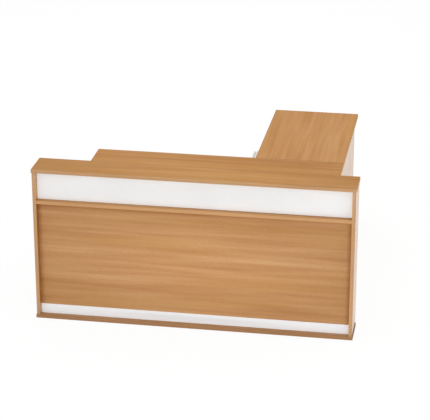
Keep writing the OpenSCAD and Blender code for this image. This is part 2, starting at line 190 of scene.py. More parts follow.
def bump(tree, height, depth):
    """A normal from a height of 0 to 1 that stands for this depth."""
    return add(tree, "ShaderNodeBump", {"Height": height, "Distance": depth, "Strength": 1.0}).outputs[0]


def new_material(name):
    """A material, its tree, its shader and the coordinates of its object."""
    material = bpy.data.materials.new(name)
    material.use_nodes = True
    tree = material.node_tree
    coords = add(tree, "ShaderNodeTexCoord").outputs["Object"]
    return material, tree, tree.nodes["Principled BSDF"], coords


def link(tree, shader, **sockets):
    """Links sockets to the shader's inputs, with underscores for the spaces in their names."""
    for name, socket in sockets.items():
        tree.links.new(socket, shader.inputs[name.replace("_", " ")])


# Places on a board

# Stands for half a board's thickness where only the board's plane counts
OUT_OF_REACH = 100.0
# Distances from the rim: the end of the edging, both sides of the arris, the glue line and its half width
EDGING_END = (0.2 * MM, 0.5 * MM)
ARRIS_RISE = (0.0, 0.4 * MM)
ARRIS_FALL = (0.8 * MM, 1.6 * MM)
GLUE_LINE_IN = 2.0 * MM
GLUE_LINE_HALF = (0.1 * MM, 0.3 * MM)


def plane_of(node):
    """A board's middle, and its half sizes in its plane."""
    low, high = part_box(node)
    half = (high - low) / 2
    thickness = min(range(3), key=lambda axis: half[axis])
    half[thickness] = OUT_OF_REACH
    return (low + high) / 2, half


def rim_distance(tree, coords, node):
    """How far a point of a board lies from the board's rim, in the board's plane. It is 0 on the edges."""
    middle, half = plane_of(node)
    offset = vector_maths(tree, "SUBTRACT", coords, middle)
    inside = split(tree, vector_maths(tree, "SUBTRACT", half, vector_maths(tree, "ABSOLUTE", offset)))
    return maths(tree, "MINIMUM", maths(tree, "MINIMUM", inside[0], inside[1]), inside[2])


def from_middle(tree, coords, node):
    """How far a point lies from a board's middle, as a share of the board's half length and half width."""
    middle, half = plane_of(node)
    share = vector_maths(tree, "DIVIDE", vector_maths(tree, "SUBTRACT", coords, middle), half)
    return add(tree, "ShaderNodeVectorMath", {0: share}, operation="LENGTH").outputs["Value"]


def on_edging(tree, rim):
    """1 on the edging, 0 on the faces."""
    return fade(tree, rim, *EDGING_END)


def on_arris(tree, rim):
    """1 on the rounded arris between face and edging."""
    return times(tree, ramp(tree, rim, *ARRIS_RISE), fade(tree, rim, *ARRIS_FALL))


def on_glue_line(tree, rim):
    """1 on the hair line where the edging meets the face."""
    away = maths(tree, "ABSOLUTE", maths(tree, "SUBTRACT", rim, GLUE_LINE_IN))
    return fade(tree, away, *GLUE_LINE_HALF)


# Beech

Grain = namedtuple("Grain", "bands streaks fibres flecks tints")
BEECH_MARKS = Grain(
    bands=Marks(drawn_out(1.4, 0.075), detail=1.0, distortion=0.10),
    streaks=Marks(drawn_out(0.60, 0.024), detail=1.3, distortion=0.08),
    fibres=Marks(drawn_out(0.09, 0.0014), detail=2.0),
    flecks=Marks(drawn_out(0.007, 0.0012), detail=0.0),
    tints=Marks(drawn_out(1.6, 0.13), detail=1.0),
)
SMUDGES = Marks(even(0.13), detail=3.0)
GRAIN_TURN = {"X": (0, 0, 0), "Y": (0, 0, -math.pi / 2), "Z": (0, math.pi / 2, 0)}

# The face: what the marks add to the tone, the tones of the main colours, where tints and flecks show,
# where the painted light of a paler middle shows, and where the darker stretch along the rim starts
BAND_SHARE = 0.62
STREAK_SHARE = 0.50
FIBRE_SHARE = 0.16
TONE_TOP = BAND_SHARE + STREAK_SHARE + FIBRE_SHARE
TONE_MIDDLE = TONE_TOP / 2
DEEP_TONE = 0.44
MIDDLE_TONE = 0.62
PALE_TONE = 0.80
TINT_RANGE = (0.45, 0.70)
TINT_SHARE = 0.45
FLECK_RANGE = (0.66, 0.74)
FLECK_SHARE = 0.30
PAINTED_LIGHT_RANGE = (0.2, 1.1)
RIM_START = 1.5 * MM

# The edging: its print, the wear on its arris and its glue line
PRINT_RANGE = (0.7, 1.3)
PRINT_SHADES = (0.88, 1.10)
EDGING_SHARE = 0.75
WEAR_RANGE = (0.40, 0.62)
WEAR_SHARES = (0.1, 0.6)
GLUE_SHARE = 0.35

# The surface: two kinds of gloss, and how fibres, smudges and pores change it
Gloss = namedtuple("Gloss", "specular roughness pore_depth")
GLOSSY = Gloss(specular=0.7, roughness=0.20, pore_depth=0.015 * MM)
MATT = Gloss(specular=0.04, roughness=0.58, pore_depth=0.06 * MM)
EDGING_ROUGHNESS = 0.60
FIBRE_ROUGHNESS = 0.5
SMUDGE_RANGE = (0.5, 1.0)
ROUGHNESS_SPREAD = 0.2
PORE_RANGE = (0.62, 0.74)

# Painted shade on the end panels: on their inner faces in the recess of the front panel, from a share of it
# at the recess's mouth to all of it at its back, with soft borders, and near their feet
END_PANELS = ("left_end_panel", "right_end_panel")
RECESS_PAINTED_SHADE = (0.64, 0.52, 0.40, 1.0)
MOUTH_SHARE = 0.3
INNER_FACE_DEPTH = (0.2 * MM, 0.8 * MM)
RECESS_BLUR = 1.0 * MM
FOOT_HEIGHT = 90 * MM
FOOT_PAINTED_SHADE = 0.84


def beech_face(tree, grain, board):
    """The decor: broad bands, streaks and fibres from deep to pale, yellow tints and short dark flecks."""
    tone = maths(tree, "MULTIPLY_ADD", grain.bands, BAND_SHARE, times(tree, grain.streaks, STREAK_SHARE))
    tone = maths(tree, "MULTIPLY_ADD", grain.fibres, FIBRE_SHARE, tone)
    low = TONE_MIDDLE - TONE_MIDDLE * board.figure
    high = TONE_MIDDLE + TONE_MIDDLE * board.figure
    tone = ramp(tree, tone, 0.0, TONE_TOP, low, high)
    colours = (BEECH_DEEP, BEECH_MIDDLE, BEECH_PALE, BEECH_YELLOW)
    deep, middle, pale, yellow = [tinted(colour, board.shade) for colour in colours]
    colour = mix(tree, ramp(tree, tone, DEEP_TONE, MIDDLE_TONE), deep, middle)
    colour = mix(tree, ramp(tree, tone, MIDDLE_TONE, PALE_TONE), colour, pale)
    colour = mix(tree, ramp(tree, grain.tints, *TINT_RANGE, 0.0, TINT_SHARE), colour, yellow)
    return mix(tree, ramp(tree, grain.flecks, *FLECK_RANGE, 0.0, FLECK_SHARE), colour, BEECH_FLECK)


def edged(tree, colour, rim, grain, board):
    """A beech face with its edging round it."""
    printed = ramp(tree, maths(tree, "ADD", grain.fibres, grain.streaks), *PRINT_RANGE, *PRINT_SHADES)
    edge_colour = shaded(tree, tinted(BEECH_EDGING, board.edge), printed)
    colour = mix(tree, times(tree, on_edging(tree, rim), EDGING_SHARE), colour, edge_colour)
    wear = times(tree, on_arris(tree, rim), ramp(tree, grain.streaks, *WEAR_RANGE, *WEAR_SHARES))
    colour = mix(tree, wear, colour, tinted(BEECH_ARRIS, board.edge))
    return mix(tree, times(tree, on_glue_line(tree, rim), GLUE_SHARE), colour, BEECH_FLECK)


def in_recess(tree, coords, node):
    """How deep a point of an end panel's inner face lies in the front panel's recess, and 0 outside it."""
    low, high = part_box("front_panel")
    x, y, z = split(tree, coords)
    depth = ramp(tree, y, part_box(node)[0].y, low.y, MOUTH_SHARE, 1.0)
    inner_face = [high.x + distance for distance in INNER_FACE_DEPTH]
    inward = fade(tree, maths(tree, "ABSOLUTE", x), *inner_face)
    ahead = fade(tree, y, low.y, low.y + RECESS_BLUR)
    below = fade(tree, z, high.z, high.z + RECESS_BLUR)
    for limit in (inward, ahead, below):
        depth = times(tree, depth, limit)
    return depth


def end_panel_painted_shade(tree, colour, coords, node):
    """The colour of an end panel, with painted shade in the recess and near its foot."""
    shadow = mix(tree, in_recess(tree, coords, node), WHITE, RECESS_PAINTED_SHADE)
    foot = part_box(node)[0].z
    height = split(tree, coords)[2]
    rise = ramp(tree, height, foot, foot + FOOT_HEIGHT, FOOT_PAINTED_SHADE, 1.0)
    return shaded(tree, shaded(tree, colour, shadow), rise)


def beech(node, board, cut):
    """Beech decor on a board, with its grain along an axis."""
    material, tree, shader, coords = new_material("beech_" + node)
    turned = {"Vector": coords, "Rotation": GRAIN_TURN[board.grain], "Location": cut}
    along = add(tree, "ShaderNodeMapping", turned).outputs[0]
    grain = Grain(*[noise(tree, along, marks) for marks in BEECH_MARKS])
    rim = rim_distance(tree, coords, node)

    # Painted light: a paler middle, on the counter top and the front panel
    heart = ramp(tree, from_middle(tree, coords, node), *PAINTED_LIGHT_RANGE, 1.0 + board.heart, 1.0)
    # A darker stretch along the rim, which on the front panel is painted shade in its recess
    shadow = mix(tree, ramp(tree, rim, RIM_START, board.rim), (*board.rim_shade, 1.0), WHITE)
    colour = shaded(tree, shaded(tree, beech_face(tree, grain, board), heart), shadow)
    colour = edged(tree, colour, rim, grain, board)
    if node in END_PANELS:
        colour = end_panel_painted_shade(tree, colour, coords, node)

    gloss = board.gloss
    uneven = maths(tree, "ADD", noise(tree, coords, SMUDGES), times(tree, grain.fibres, FIBRE_ROUGHNESS))
    low = (1 - ROUGHNESS_SPREAD) * gloss.roughness
    high = (1 + ROUGHNESS_SPREAD) * gloss.roughness
    rough = ramp(tree, uneven, *SMUDGE_RANGE, low, high)
    rough = maths(tree, "MAXIMUM", rough, times(tree, on_edging(tree, rim), EDGING_ROUGHNESS))
    pores = maths(tree, "SUBTRACT", grain.fibres, ramp(tree, grain.flecks, *PORE_RANGE))
    shader.inputs["Specular IOR Level"].default_value = gloss.specular
    link(tree, shader, Base_Color=colour, Roughness=rough, Normal=bump(tree, pores, gloss.pore_depth))
    return material


# White board

MOTTLE = Marks(even(0.16), detail=3.0)
PEEL = Marks(even(1.3 * MM), detail=1.0)
PEEL_DEPTH = 0.03 * MM
HANDLING = Marks(even(0.05), detail=4.0)
WHITE_WEAR = 0.7
WHITE_GLUE_SHARE = 0.30
WHITE_SPECULAR = 0.4
WHITE_ROUGHNESS = (0.36, 0.48)


def white_board(node, shift):
    """White-faced board: a faint mottle, the orange peel of its face and a hair line along its edging."""
    material, tree, shader, coords = new_material("white_" + node)
    moved = add(tree, "ShaderNodeMapping", {"Vector": coords, "Location": shift}).outputs[0]
    colour = mix(tree, ramp(tree, noise(tree, moved, MOTTLE), *NOISE_RANGE), WHITE_GREY, WHITE_FACE)
    rim = rim_distance(tree, coords, node)
    colour = mix(tree, times(tree, on_arris(tree, rim), WHITE_WEAR), colour, WHITE_ARRIS)
    colour = mix(tree, times(tree, on_glue_line(tree, rim), WHITE_GLUE_SHARE), colour, GLUE_GREY)
    rough = ramp(tree, noise(tree, moved, HANDLING), *NOISE_RANGE, *WHITE_ROUGHNESS)
    peel = bump(tree, noise(tree, moved, PEEL), PEEL_DEPTH)
    shader.inputs["Specular IOR Level"].default_value = WHITE_SPECULAR
    link(tree, shader, Base_Color=colour, Roughness=rough, Normal=peel)
    return material


# Sign panel

CLOUDS = Marks((0.35, 0.35, 0.22), detail=2.0)
WAVE = Marks(even(0.20), detail=1.0)
WAVE_DEPTH = 0.15 * MM
DUST = Marks(even(4 * MM), detail=2.0)
DUST_RANGE = (0.40, 0.70)
SIGN_PAINTED_SHADE_RANGE = (0.3, 1.0)
SIGN_PAINTED_SHADE = 0.935
SIGN_SPECULAR = 0.3
SIGN_ROUGHNESS = (0.22, 0.34)


def acrylic():
    """White acrylic: faint clouds, a middle greyed by painted shade, and a slow wave in its polish."""
    material, tree, shader, coords = new_material("sign_acrylic")
    colour = mix(tree, ramp(tree, noise(tree, coords, CLOUDS), *NOISE_RANGE), ACRYLIC_CLOUD, ACRYLIC_WHITE)
    # Painted shade: the middle of the panel greyer than its ends
    middle = from_middle(tree, coords, "sign_panel")
    colour = shaded(tree, colour, ramp(tree, middle, *SIGN_PAINTED_SHADE_RANGE, SIGN_PAINTED_SHADE, 1.0))
    rough = ramp(tree, noise(tree, coords, DUST), *DUST_RANGE, *SIGN_ROUGHNESS)
    wave = bump(tree, noise(tree, coords, WAVE), WAVE_DEPTH)
    shader.inputs["Specular IOR Level"].default_value = SIGN_SPECULAR
    link(tree, shader, Base_Color=colour, Roughness=rough, Normal=wave)
    return material


# Kick strip

BRUSH_LINES = Marks(drawn_out(0.40, 0.0012), detail=3.0)
BRUSH_DEPTH = 0.02 * MM
PATCHES = Marks(drawn_out(0.25, 0.05), detail=2.0)
PATCH_SHARE = 0.6
BRUSH_RANGE = (0.6, 1.0)
SCUFF_RANGE = (0.45, 0.70)
SCUFF_SHARE = 0.5
KICK_PAINTED_SHADE_RANGE = (0.25, 0.7)
KICK_PAINTED_SHADE = 0.91
KICK_SPECULAR = 0.4
KICK_ROUGHNESS = (0.30, 0.45)


def brushed_lacquer():
    """Pale lacquer over brushed sheet: fine lines along it, a middle greyed by painted shade, scuffs near
    its foot.
    """
    material, tree, shader, coords = new_material("kick_lacquer")
    lines = noise(tree, coords, BRUSH_LINES)
    patches = noise(tree, coords, PATCHES)
    low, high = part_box("kick_strip")
    height = split(tree, coords)[2]
    near_foot = ramp(tree, height, low.z, high.z, SCUFF_SHARE, 0.0)
    scuffs = times(tree, near_foot, ramp(tree, patches, *SCUFF_RANGE))
    brushed = ramp(tree, maths(tree, "ADD", lines, times(tree, patches, PATCH_SHARE)), *BRUSH_RANGE)
    colour = mix(tree, scuffs, mix(tree, brushed, LACQUER_GREY, LACQUER_PALE), LACQUER_GREY)
    # Painted shade: the middle of the strip greyer than its ends
    middle = from_middle(tree, coords, "kick_strip")
    colour = shaded(tree, colour, ramp(tree, middle, *KICK_PAINTED_SHADE_RANGE, KICK_PAINTED_SHADE, 1.0))
    rough = ramp(tree, lines, *NOISE_RANGE, *KICK_ROUGHNESS)
    shader.inputs["Specular IOR Level"].default_value = KICK_SPECULAR
    link(tree, shader, Base_Color=colour, Roughness=rough, Normal=bump(tree, lines, BRUSH_DEPTH))
    return material


# Plated steel

SPANGLE = Marks(even(12 * MM), detail=4.0, distortion=0.6)
ROLLED_ALONG_X = Marks(drawn_out(0.15, 0.0008), detail=2.0)
ROLLED_ALONG_Y = Marks((0.0008, 0.15, 0.0008), detail=2.0)
TURNED = Marks(even(0.6 * MM), detail=2.0)
LINE_SHARE = 0.5
LINE_DEPTH = 0.02 * MM
PLATE_RANGE = (0.38, 0.62)
PLATE_SPREAD = 0.07


def plated(name, pale, dark, grain, roughness):
    """Plated steel with cloudy spangles and the fine lines of its making."""
    material, tree, shader, coords = new_material(name)
    lines = noise(tree, coords, grain)
    spangle = times(tree, noise(tree, coords, SPANGLE), 1 - LINE_SHARE)
    shade = maths(tree, "MULTIPLY_ADD", lines, LINE_SHARE, spangle)
    colour = mix(tree, ramp(tree, shade, *PLATE_RANGE), dark, pale)
    rough = ramp(tree, shade, *NOISE_RANGE, roughness - PLATE_SPREAD, roughness + PLATE_SPREAD)
    shader.inputs["Metallic"].default_value = 1.0
    link(tree, shader, Base_Color=colour, Roughness=rough, Normal=bump(tree, lines, LINE_DEPTH))
    return material


# Moulded plastic

TOOTH = 0.9 * MM
TOOTH_DETAIL = 2.0
TOOTH_DEPTH = 0.05 * MM
TOOTH_RANGE = (0.3, 0.7)
TOOTH_SHARE = 0.4
DRIFT = Marks(even(0.03), detail=2.0)
DRIFT_SHARE = 0.6
MOULD_DARK = even(0.8)
MOULD_SPREAD = 0.06


def moulded(name, colour, roughness, tooth=TOOTH):
    """Moulded plastic with a spark-eroded tooth and a slight drift of shade."""
    material, tree, shader, coords = new_material(name)
    grain = noise(tree, coords, Marks(even(tooth), TOOTH_DETAIL))
    drift = times(tree, noise(tree, coords, DRIFT), DRIFT_SHARE)
    shade = maths(tree, "MULTIPLY_ADD", grain, TOOTH_SHARE, drift)
    mottled = mix(tree, ramp(tree, shade, *NOISE_RANGE), tinted(colour, MOULD_DARK), colour)
    rough = ramp(tree, grain, *TOOTH_RANGE, roughness - MOULD_SPREAD, roughness + MOULD_SPREAD)
    link(tree, shader, Base_Color=mottled, Roughness=rough, Normal=bump(tree, grain, TOOTH_DEPTH))
    return material


# Levelling feet

HEX_TOP = 13 * MM
STEM_BLUR = 0.05 * MM
STEM_POLISH = 0.5
FOOT_RANGE = (-0.2, 0.7)
FOOT_ROUGHNESS = (0.25, 0.60)
FOOT_TOOTH_DEPTH = 0.04 * MM


def levelling_foot():
    """A foot's black plastic pad and hexagon, and its zinc-plated stem above them."""
    material, tree, shader, coords = new_material("levelling_foot")
    grain = noise(tree, coords, Marks(even(TOOTH), TOOTH_DETAIL))
    height = split(tree, coords)[2]
    stem = ramp(tree, height, HEX_TOP - STEM_BLUR, HEX_TOP + STEM_BLUR)
    shade = ramp(tree, grain, *NOISE_RANGE)
    plastic = mix(tree, shade, tinted(GLIDE_BLACK, MOULD_DARK), GLIDE_BLACK)
    zinc = mix(tree, shade, ZINC_DARK, ZINC_PALE)
    colour = mix(tree, stem, plastic, zinc)
    rough = ramp(tree, maths(tree, "MULTIPLY_ADD", stem, -STEM_POLISH, grain), *FOOT_RANGE, *FOOT_ROUGHNESS)
    tooth = bump(tree, grain, FOOT_TOOTH_DEPTH)
    link(tree, shader, Base_Color=colour, Metallic=stem, Roughness=rough, Normal=tooth)
    return material


# Finishes of the solids

PLAIN = even(1.0)
# Tints of the one beech decor, board by board; part of them is painted light and shade for how each board
# is lit
TOP_SHADE = (0.90, 0.85, 0.69)
DESK_SHADE = (1.02, 0.97, 0.82)
# Painted shade: the base board's faces darker than the rest of the beech
BASE_PAINTED_SHADE = (0.75, 0.77, 0.87)
RETURN_SHADE = (1.07, 1.03, 0.90)
PANEL_SHADE = (0.945, 0.955, 0.955)
SIDE_SHADE = (1.0, 0.95, 0.68)
TOP_EDGE = (0.91, 0.99, 1.06)
# Painted shade: the base board's edging darker
BASE_EDGE_PAINTED_SHADE = (0.68, 0.65, 0.63)
# Painted light and shade: the left stile's edging darker than the right one's
LEFT_STILE_PAINTED_SHADE = (0.925, 0.96, 0.945)
RIGHT_STILE_PAINTED_LIGHT = (0.99, 0.99, 0.94)
RAIL_EDGE = (0.98, 0.98, 0.91)
GABLE_EDGE = (0.70, 0.68, 0.68)
FIGURE = 0.8
RIM = 10 * MM
RIM_SHADE = even(0.86)
# Painted shade in the front panel's recess, darkest at its rim: its width and its shade
PANEL_PAINTED_SHADE_WIDTH = 30 * MM
PANEL_RIM_PAINTED_SHADE = (0.745, 0.63, 0.49)

# A beech board: its grain and gloss, the strength of its figure, the painted light on its paler middle, the
# shades of its faces and edges, and the width and the shade of the darker stretch along its rim
Board = namedtuple(
    "Board",
    "grain gloss figure heart shade edge rim rim_shade",
    defaults=[FIGURE, 0.0, PLAIN, PLAIN, RIM, RIM_SHADE],
)
BEECH_BOARDS = {
    "counter_top": Board(
        "X", MATT, figure=0.55, heart=0.08, shade=TOP_SHADE, edge=TOP_EDGE, rim_shade=PLAIN
    ),
    "base_board": Board("X", MATT, figure=0.55, shade=BASE_PAINTED_SHADE, edge=BASE_EDGE_PAINTED_SHADE),
    "left_end_panel": Board("Z", GLOSSY, shade=SIDE_SHADE, edge=LEFT_STILE_PAINTED_SHADE),
    "right_end_panel": Board("Z", GLOSSY, shade=SIDE_SHADE, edge=RIGHT_STILE_PAINTED_LIGHT),
    "niche_floor": Board("X", MATT, figure=0.6, edge=RAIL_EDGE),
    "sign_backing": Board("X", MATT),
    "front_panel": Board(
        "X", MATT, figure=0.57, heart=0.14, shade=PANEL_SHADE, rim=PANEL_PAINTED_SHADE_WIDTH, rim_shade=PANEL_RIM_PAINTED_SHADE
    ),
    "niche_divider_left": Board("Z", MATT),
    "niche_divider_right": Board("Z", MATT),
    "lower_divider_left": Board("Z", MATT),
    "lower_divider_right": Board("Z", MATT),
    "desk_top": Board("X", MATT, figure=0.52, shade=DESK_SHADE),
    "return_top": Board("Y", MATT, figure=0.43, shade=RETURN_SHADE),
    "desk_left_gable": Board("Z", GLOSSY, shade=SIDE_SHADE),
    "desk_right_gable": Board("Z", GLOSSY, shade=SIDE_SHADE),
    "desk_stretcher": Board("X", MATT),
    "return_end_gable": Board("Z", GLOSSY, shade=SIDE_SHADE, edge=GABLE_EDGE),
    "return_side_panel": Board("Z", GLOSSY, shade=SIDE_SHADE),
}
# Where in the decor four of the boards are cut. The others follow their place in the list, a step apart.
CUTS = {
    "counter_top": (18.7, 27.2, 29.1),
    "front_panel": (6.2, 24.4, 24.7),
    "desk_top": (23.9, 24.8, 25.2),
    "return_top": (27.9, 15.8, 0.7),
}
DECOR_STEP = (0.7, 1.9, 1.3)
WHITE_BOARDS = [
    "pedestal_desk_side", "pedestal_end_side", "pedestal_top", "pedestal_base", "pedestal_back",
    "pedestal_lock_rail", "top_drawer_front", "middle_drawer_front", "file_drawer_front",
    "top_drawer_tray", "middle_drawer_tray", "file_drawer_tray",
]
MOTTLE_STEP = (0.3, 0.5, 0.9)
DRAWERS = ("top", "middle", "file")
SIDES = ("left", "right")
FEET = ("left_front", "left_rear", "right_front", "right_rear", "end_inner", "end_outer")

WELD_DISTANCE = 0.01 * MM
FLAT_ANGLE = math.radians(0.5)
SHARP_ANGLE = math.radians(35)
ROUND_SEGMENTS = 2
BOARD_ROUND = 1.2 * MM
SHEET_ROUND = 0.25 * MM
MOULDED_ROUND = 0.6 * MM


def finish(node, material, rounding):
    """Gives a solid its material, and rounds its sharp edges without touching its mesh."""
    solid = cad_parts[node]
    for slot in solid.material_slots:
        slot.material = material
    weld = solid.modifiers.new("weld", "WELD")
    weld.merge_threshold = WELD_DISTANCE
    flat = solid.modifiers.new("flat_faces", "DECIMATE")
    flat.decimate_type = "DISSOLVE"
    flat.angle_limit = FLAT_ANGLE
    bevel = solid.modifiers.new("round_edges", "BEVEL")
    bevel.width = rounding
    bevel.segments = ROUND_SEGMENTS
    bevel.limit_method = "ANGLE"
    bevel.angle_limit = SHARP_ANGLE
    normals = solid.modifiers.new("face_normals", "WEIGHTED_NORMAL")
    normals.keep_sharp = False


def moved_on(step, place):
    """The shift of a pattern for a board at a place in its list, so that no two boards look alike."""
    return tuple(part * place for part in step)


for place, (name, board) in enumerate(BEECH_BOARDS.items()):
    cut = CUTS.get(name, moved_on(DECOR_STEP, place))
    finish(name, beech(name, board, cut), BOARD_ROUND)
for place, name in enumerate(WHITE_BOARDS):
    finish(name, white_board(name, moved_on(MOTTLE_STEP, place)), BOARD_ROUND)

zinc_x = plated("zinc_rolled_along_x", ZINC_PALE, ZINC_DARK, ROLLED_ALONG_X, roughness=0.38)
zinc_y = plated("zinc_rolled_along_y", ZINC_PALE, ZINC_DARK, ROLLED_ALONG_Y, roughness=0.42)
zinc_turned = plated("zinc_turned", ZINC_PALE, ZINC_DARK, TURNED, roughness=0.32)
chrome = plated("lock_chrome", CHROME, ZINC_PALE, TURNED, roughness=0.18)
port_plastic = moulded("port_plastic", PORT_GREY, roughness=0.50)
glide_plastic = moulded("glide_plastic", GLIDE_BLACK, roughness=0.55)
block_plastic = moulded("block_plastic", BLOCK_WHITE, roughness=0.45)
cover_foil = moulded("cover_foil", COVER_BROWN, roughness=0.45, tooth=2.5 * MM)
bumper_plastic = moulded("bumper_plastic", BUMPER_CLEAR, roughness=0.25, tooth=3.0 * MM)
foot_finish = levelling_foot()

finish("sign_panel", acrylic(), BOARD_ROUND)
finish("kick_strip", brushed_lacquer(), MOULDED_ROUND)
finish("joining_plates", zinc_y, MOULDED_ROUND)
finish("link_angles", zinc_y, MOULDED_ROUND)
finish("foot_inserts", zinc_turned, SHEET_ROUND)
finish("runner_tracks", zinc_x, SHEET_ROUND)
for drawer in DRAWERS:
    finish(drawer + "_drawer_rails", zinc_x, SHEET_ROUND)
    finish(drawer + "_runner_middles", zinc_x, SHEET_ROUND)
finish("lock_barrel", chrome, MOULDED_ROUND)
finish("lock_cam", zinc_turned, MOULDED_ROUND)
for name in ("counter_corner_blocks", "desk_corner_blocks"):
    finish(name, block_plastic, MOULDED_ROUND)
for side in SIDES:
    finish("cable_port_liner_" + side, port_plastic, MOULDED_ROUND)
    finish("cable_port_cap_" + side, port_plastic, MOULDED_ROUND)
for name in ("counter_glides", "pedestal_glides"):
    finish(name, glide_plastic, MOULDED_ROUND)
for foot in FEET:
    finish("foot_" + foot, foot_finish, MOULDED_ROUND)

# Shapes of the small fittings

# How deep a fitting's foot is sunk into what carries it
SINK = 0.1 * MM
TURNS = 32
SCREW_HEAD_R = 3.6 * MM
SCREW_HEAD_H = 2.0 * MM
CROSS_HALF_W = 0.55 * MM
CROSS_REACH = 1.9 * MM
CROSS_DEPTH = 1.5 * MM
CROSS_TAPER = 0.55
COVER_R = 6.5 * MM
COVER_T = 0.6 * MM
BUMPER_R = 4.0 * MM
BUMPER_T = 1.5 * MM

# Profiles from the foot to the top, as shares of the radius and of the height
PAN_HEAD = ((1.0, 0.35), (0.88, 0.75), (0.66, 1.0))
LOW_COVER = ((1.0, 0.3), (0.97, 0.8), (0.90, 1.0), (0.30, 1.1))
SOFT_DOME = ((1.0, 0.15), (0.93, 0.50), (0.72, 0.82), (0.40, 0.97), (0.12, 1.0))


def facing(place, axis):
    """The move that takes a piece drawn on the XY plane to a place, with its +Z along an axis."""
    turn = Vector(axis).to_track_quat("Z", "Y").to_matrix().to_4x4()
    return Matrix.Translation(place) @ turn


def loft(mesh, rings, move):
    """A skin over rings of equally many points, closed by a face at each end."""
    rows = [[mesh.verts.new(move @ Vector(point)) for point in ring] for ring in rings]
    count = len(rows[0])
    for lower, upper in zip(rows, rows[1:]):
        for i in range(count):
            j = (i + 1) % count
            mesh.faces.new((lower[i], lower[j], upper[j], upper[i]))
    mesh.faces.new(list(reversed(rows[0])))
    mesh.faces.new(rows[-1])


def sized(profile, radius, height):
    """Radius and height pairs of a turned form, from a foot that is sunk into what carries it."""
    return [(radius, -SINK)] + [(across * radius, up * height) for across, up in profile]


def turned_rings(profile, angles):
    """A ring of points at these angles for each radius and height of a profile."""
    return [[(r * math.cos(a), r * math.sin(a), h) for a in angles] for r, h in profile]


def lathe(mesh, profile, move):
    """A turned solid from radius and height pairs, drawn from its foot to its top."""
    angles = [2 * math.pi * i / TURNS for i in range(TURNS)]
    loft(mesh, turned_rings(profile, angles), move)


def cross_reach(angle):
    """The outline of a cross recess: its distance from the middle at an angle."""
    fold = abs((angle + math.pi / 4) % (math.pi / 2) - math.pi / 4)
    side = CROSS_HALF_W / math.sin(fold) if fold > 0 else CROSS_REACH
    return min(CROSS_REACH / math.cos(fold), side)


def screw_head(mesh, place, axis):
    """A pan head with a tapered cross recess."""
    arm = math.atan2(CROSS_HALF_W, CROSS_REACH)
    corner = math.pi / 4
    between = (arm + corner) / 2
    steps = (-arm, 0, arm, between, corner, math.pi / 2 - between)
    angles = [quarter * math.pi / 2 + step for quarter in range(4) for step in steps]
    rings = turned_rings(sized(PAN_HEAD, SCREW_HEAD_R, SCREW_HEAD_H), angles)
    for share, height in ((1.0, SCREW_HEAD_H), (CROSS_TAPER, SCREW_HEAD_H - CROSS_DEPTH)):
        outline = [(share * cross_reach(a), a) for a in angles]
        rings.append([(r * math.cos(a), r * math.sin(a), height) for r, a in outline])
    loft(mesh, rings, facing(place, axis))


def cover_cap(mesh, place, axis):
    """A thin round cover over a connecting bolt."""
    lathe(mesh, sized(LOW_COVER, COVER_R, COVER_T), facing(place, axis))


def bumper(mesh, place, axis):
    """A soft dome that a drawer front closes against."""
    lathe(mesh, sized(SOFT_DOME, BUMPER_R, BUMPER_T), facing(place, axis))


def make_piece(name, draw, material, body):
    """One object from what draw puts into a mesh, on a body and with a finish."""
    mesh = bmesh.new()
    draw(mesh)
    bmesh.ops.recalc_face_normals(mesh, faces=mesh.faces)
    data = bpy.data.meshes.new(name)
    mesh.to_mesh(data)
    mesh.free()
    data.shade_smooth()
    data.set_sharp_from_angle(angle=SHARP_ANGLE)
    data.materials.append(material)
    piece = bpy.data.objects.new(name, data)
    scene.collection.objects.link(piece)
    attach(piece, body)


def spread(name, shape, places, material, body):
    """One object that repeats a small shape at places, each with the axis that it faces along."""
    def draw(mesh):
        for place, axis in places:
            shape(mesh, Vector(place), Vector(axis))

    make_piece(name, draw, material, body)


def screws(name, places, body):
    """One object of zinc-plated screws, which ride on a body."""
    spread(name, screw_head, places, zinc_turned, body)


# Corner block screws

Face = namedtuple("Face", "centre normal area")
# A slanted face's normal has no part along an axis that is larger than this
SLANT_LIMIT = 0.95
BLOCK_SCREW_STEP = 9 * MM


def islands(node):
    """The separate solids of a node, each as a list of its faces."""
    mesh = bmesh.new()
    mesh.from_mesh(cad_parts[node].data)
    bmesh.ops.remove_doubles(mesh, verts=mesh.verts, dist=WELD_DISTANCE)
    waiting = set(mesh.faces)
    found = []
    for start in list(mesh.faces):
        if start not in waiting:
            continue
        waiting.discard(start)
        stack = [start]
        solid = []
        while stack:
            face = stack.pop()
            solid.append(Face(face.calc_center_median(), face.normal.copy(), face.calc_area()))
            for vert in face.verts:
                for other in vert.link_faces:
                    if other in waiting:
                        waiting.discard(other)
                        stack.append(other)
        found.append(solid)
    mesh.free()
    return found


def slanted_face(solid):
    """The middle and the direction of a corner block's slanted face."""
    slanted = [face for face in solid if max(abs(part) for part in face.normal) < SLANT_LIMIT]
    area = sum(face.area for face in slanted)
    middle = sum((face.centre * face.area for face in slanted), Vector()) / area
    return middle, slanted[0].normal


def block_screws(node):
    """Two screws through the slanted face of each corner block, along the block."""
    places = []
    for solid in islands(node):
        middle, normal = slanted_face(solid)
        along = normal.cross(Z_AXIS).normalized()
        for step in (-BLOCK_SCREW_STEP, BLOCK_SCREW_STEP):
            places.append((middle + step * along, normal))
    return places


# Link angle screws

ANGLE_T = 3 * MM
SIDE_SCREW_ENDS = (14 * MM, 34 * MM)
TOP_SCREW_ENDS = (16 * MM, 62 * MM)


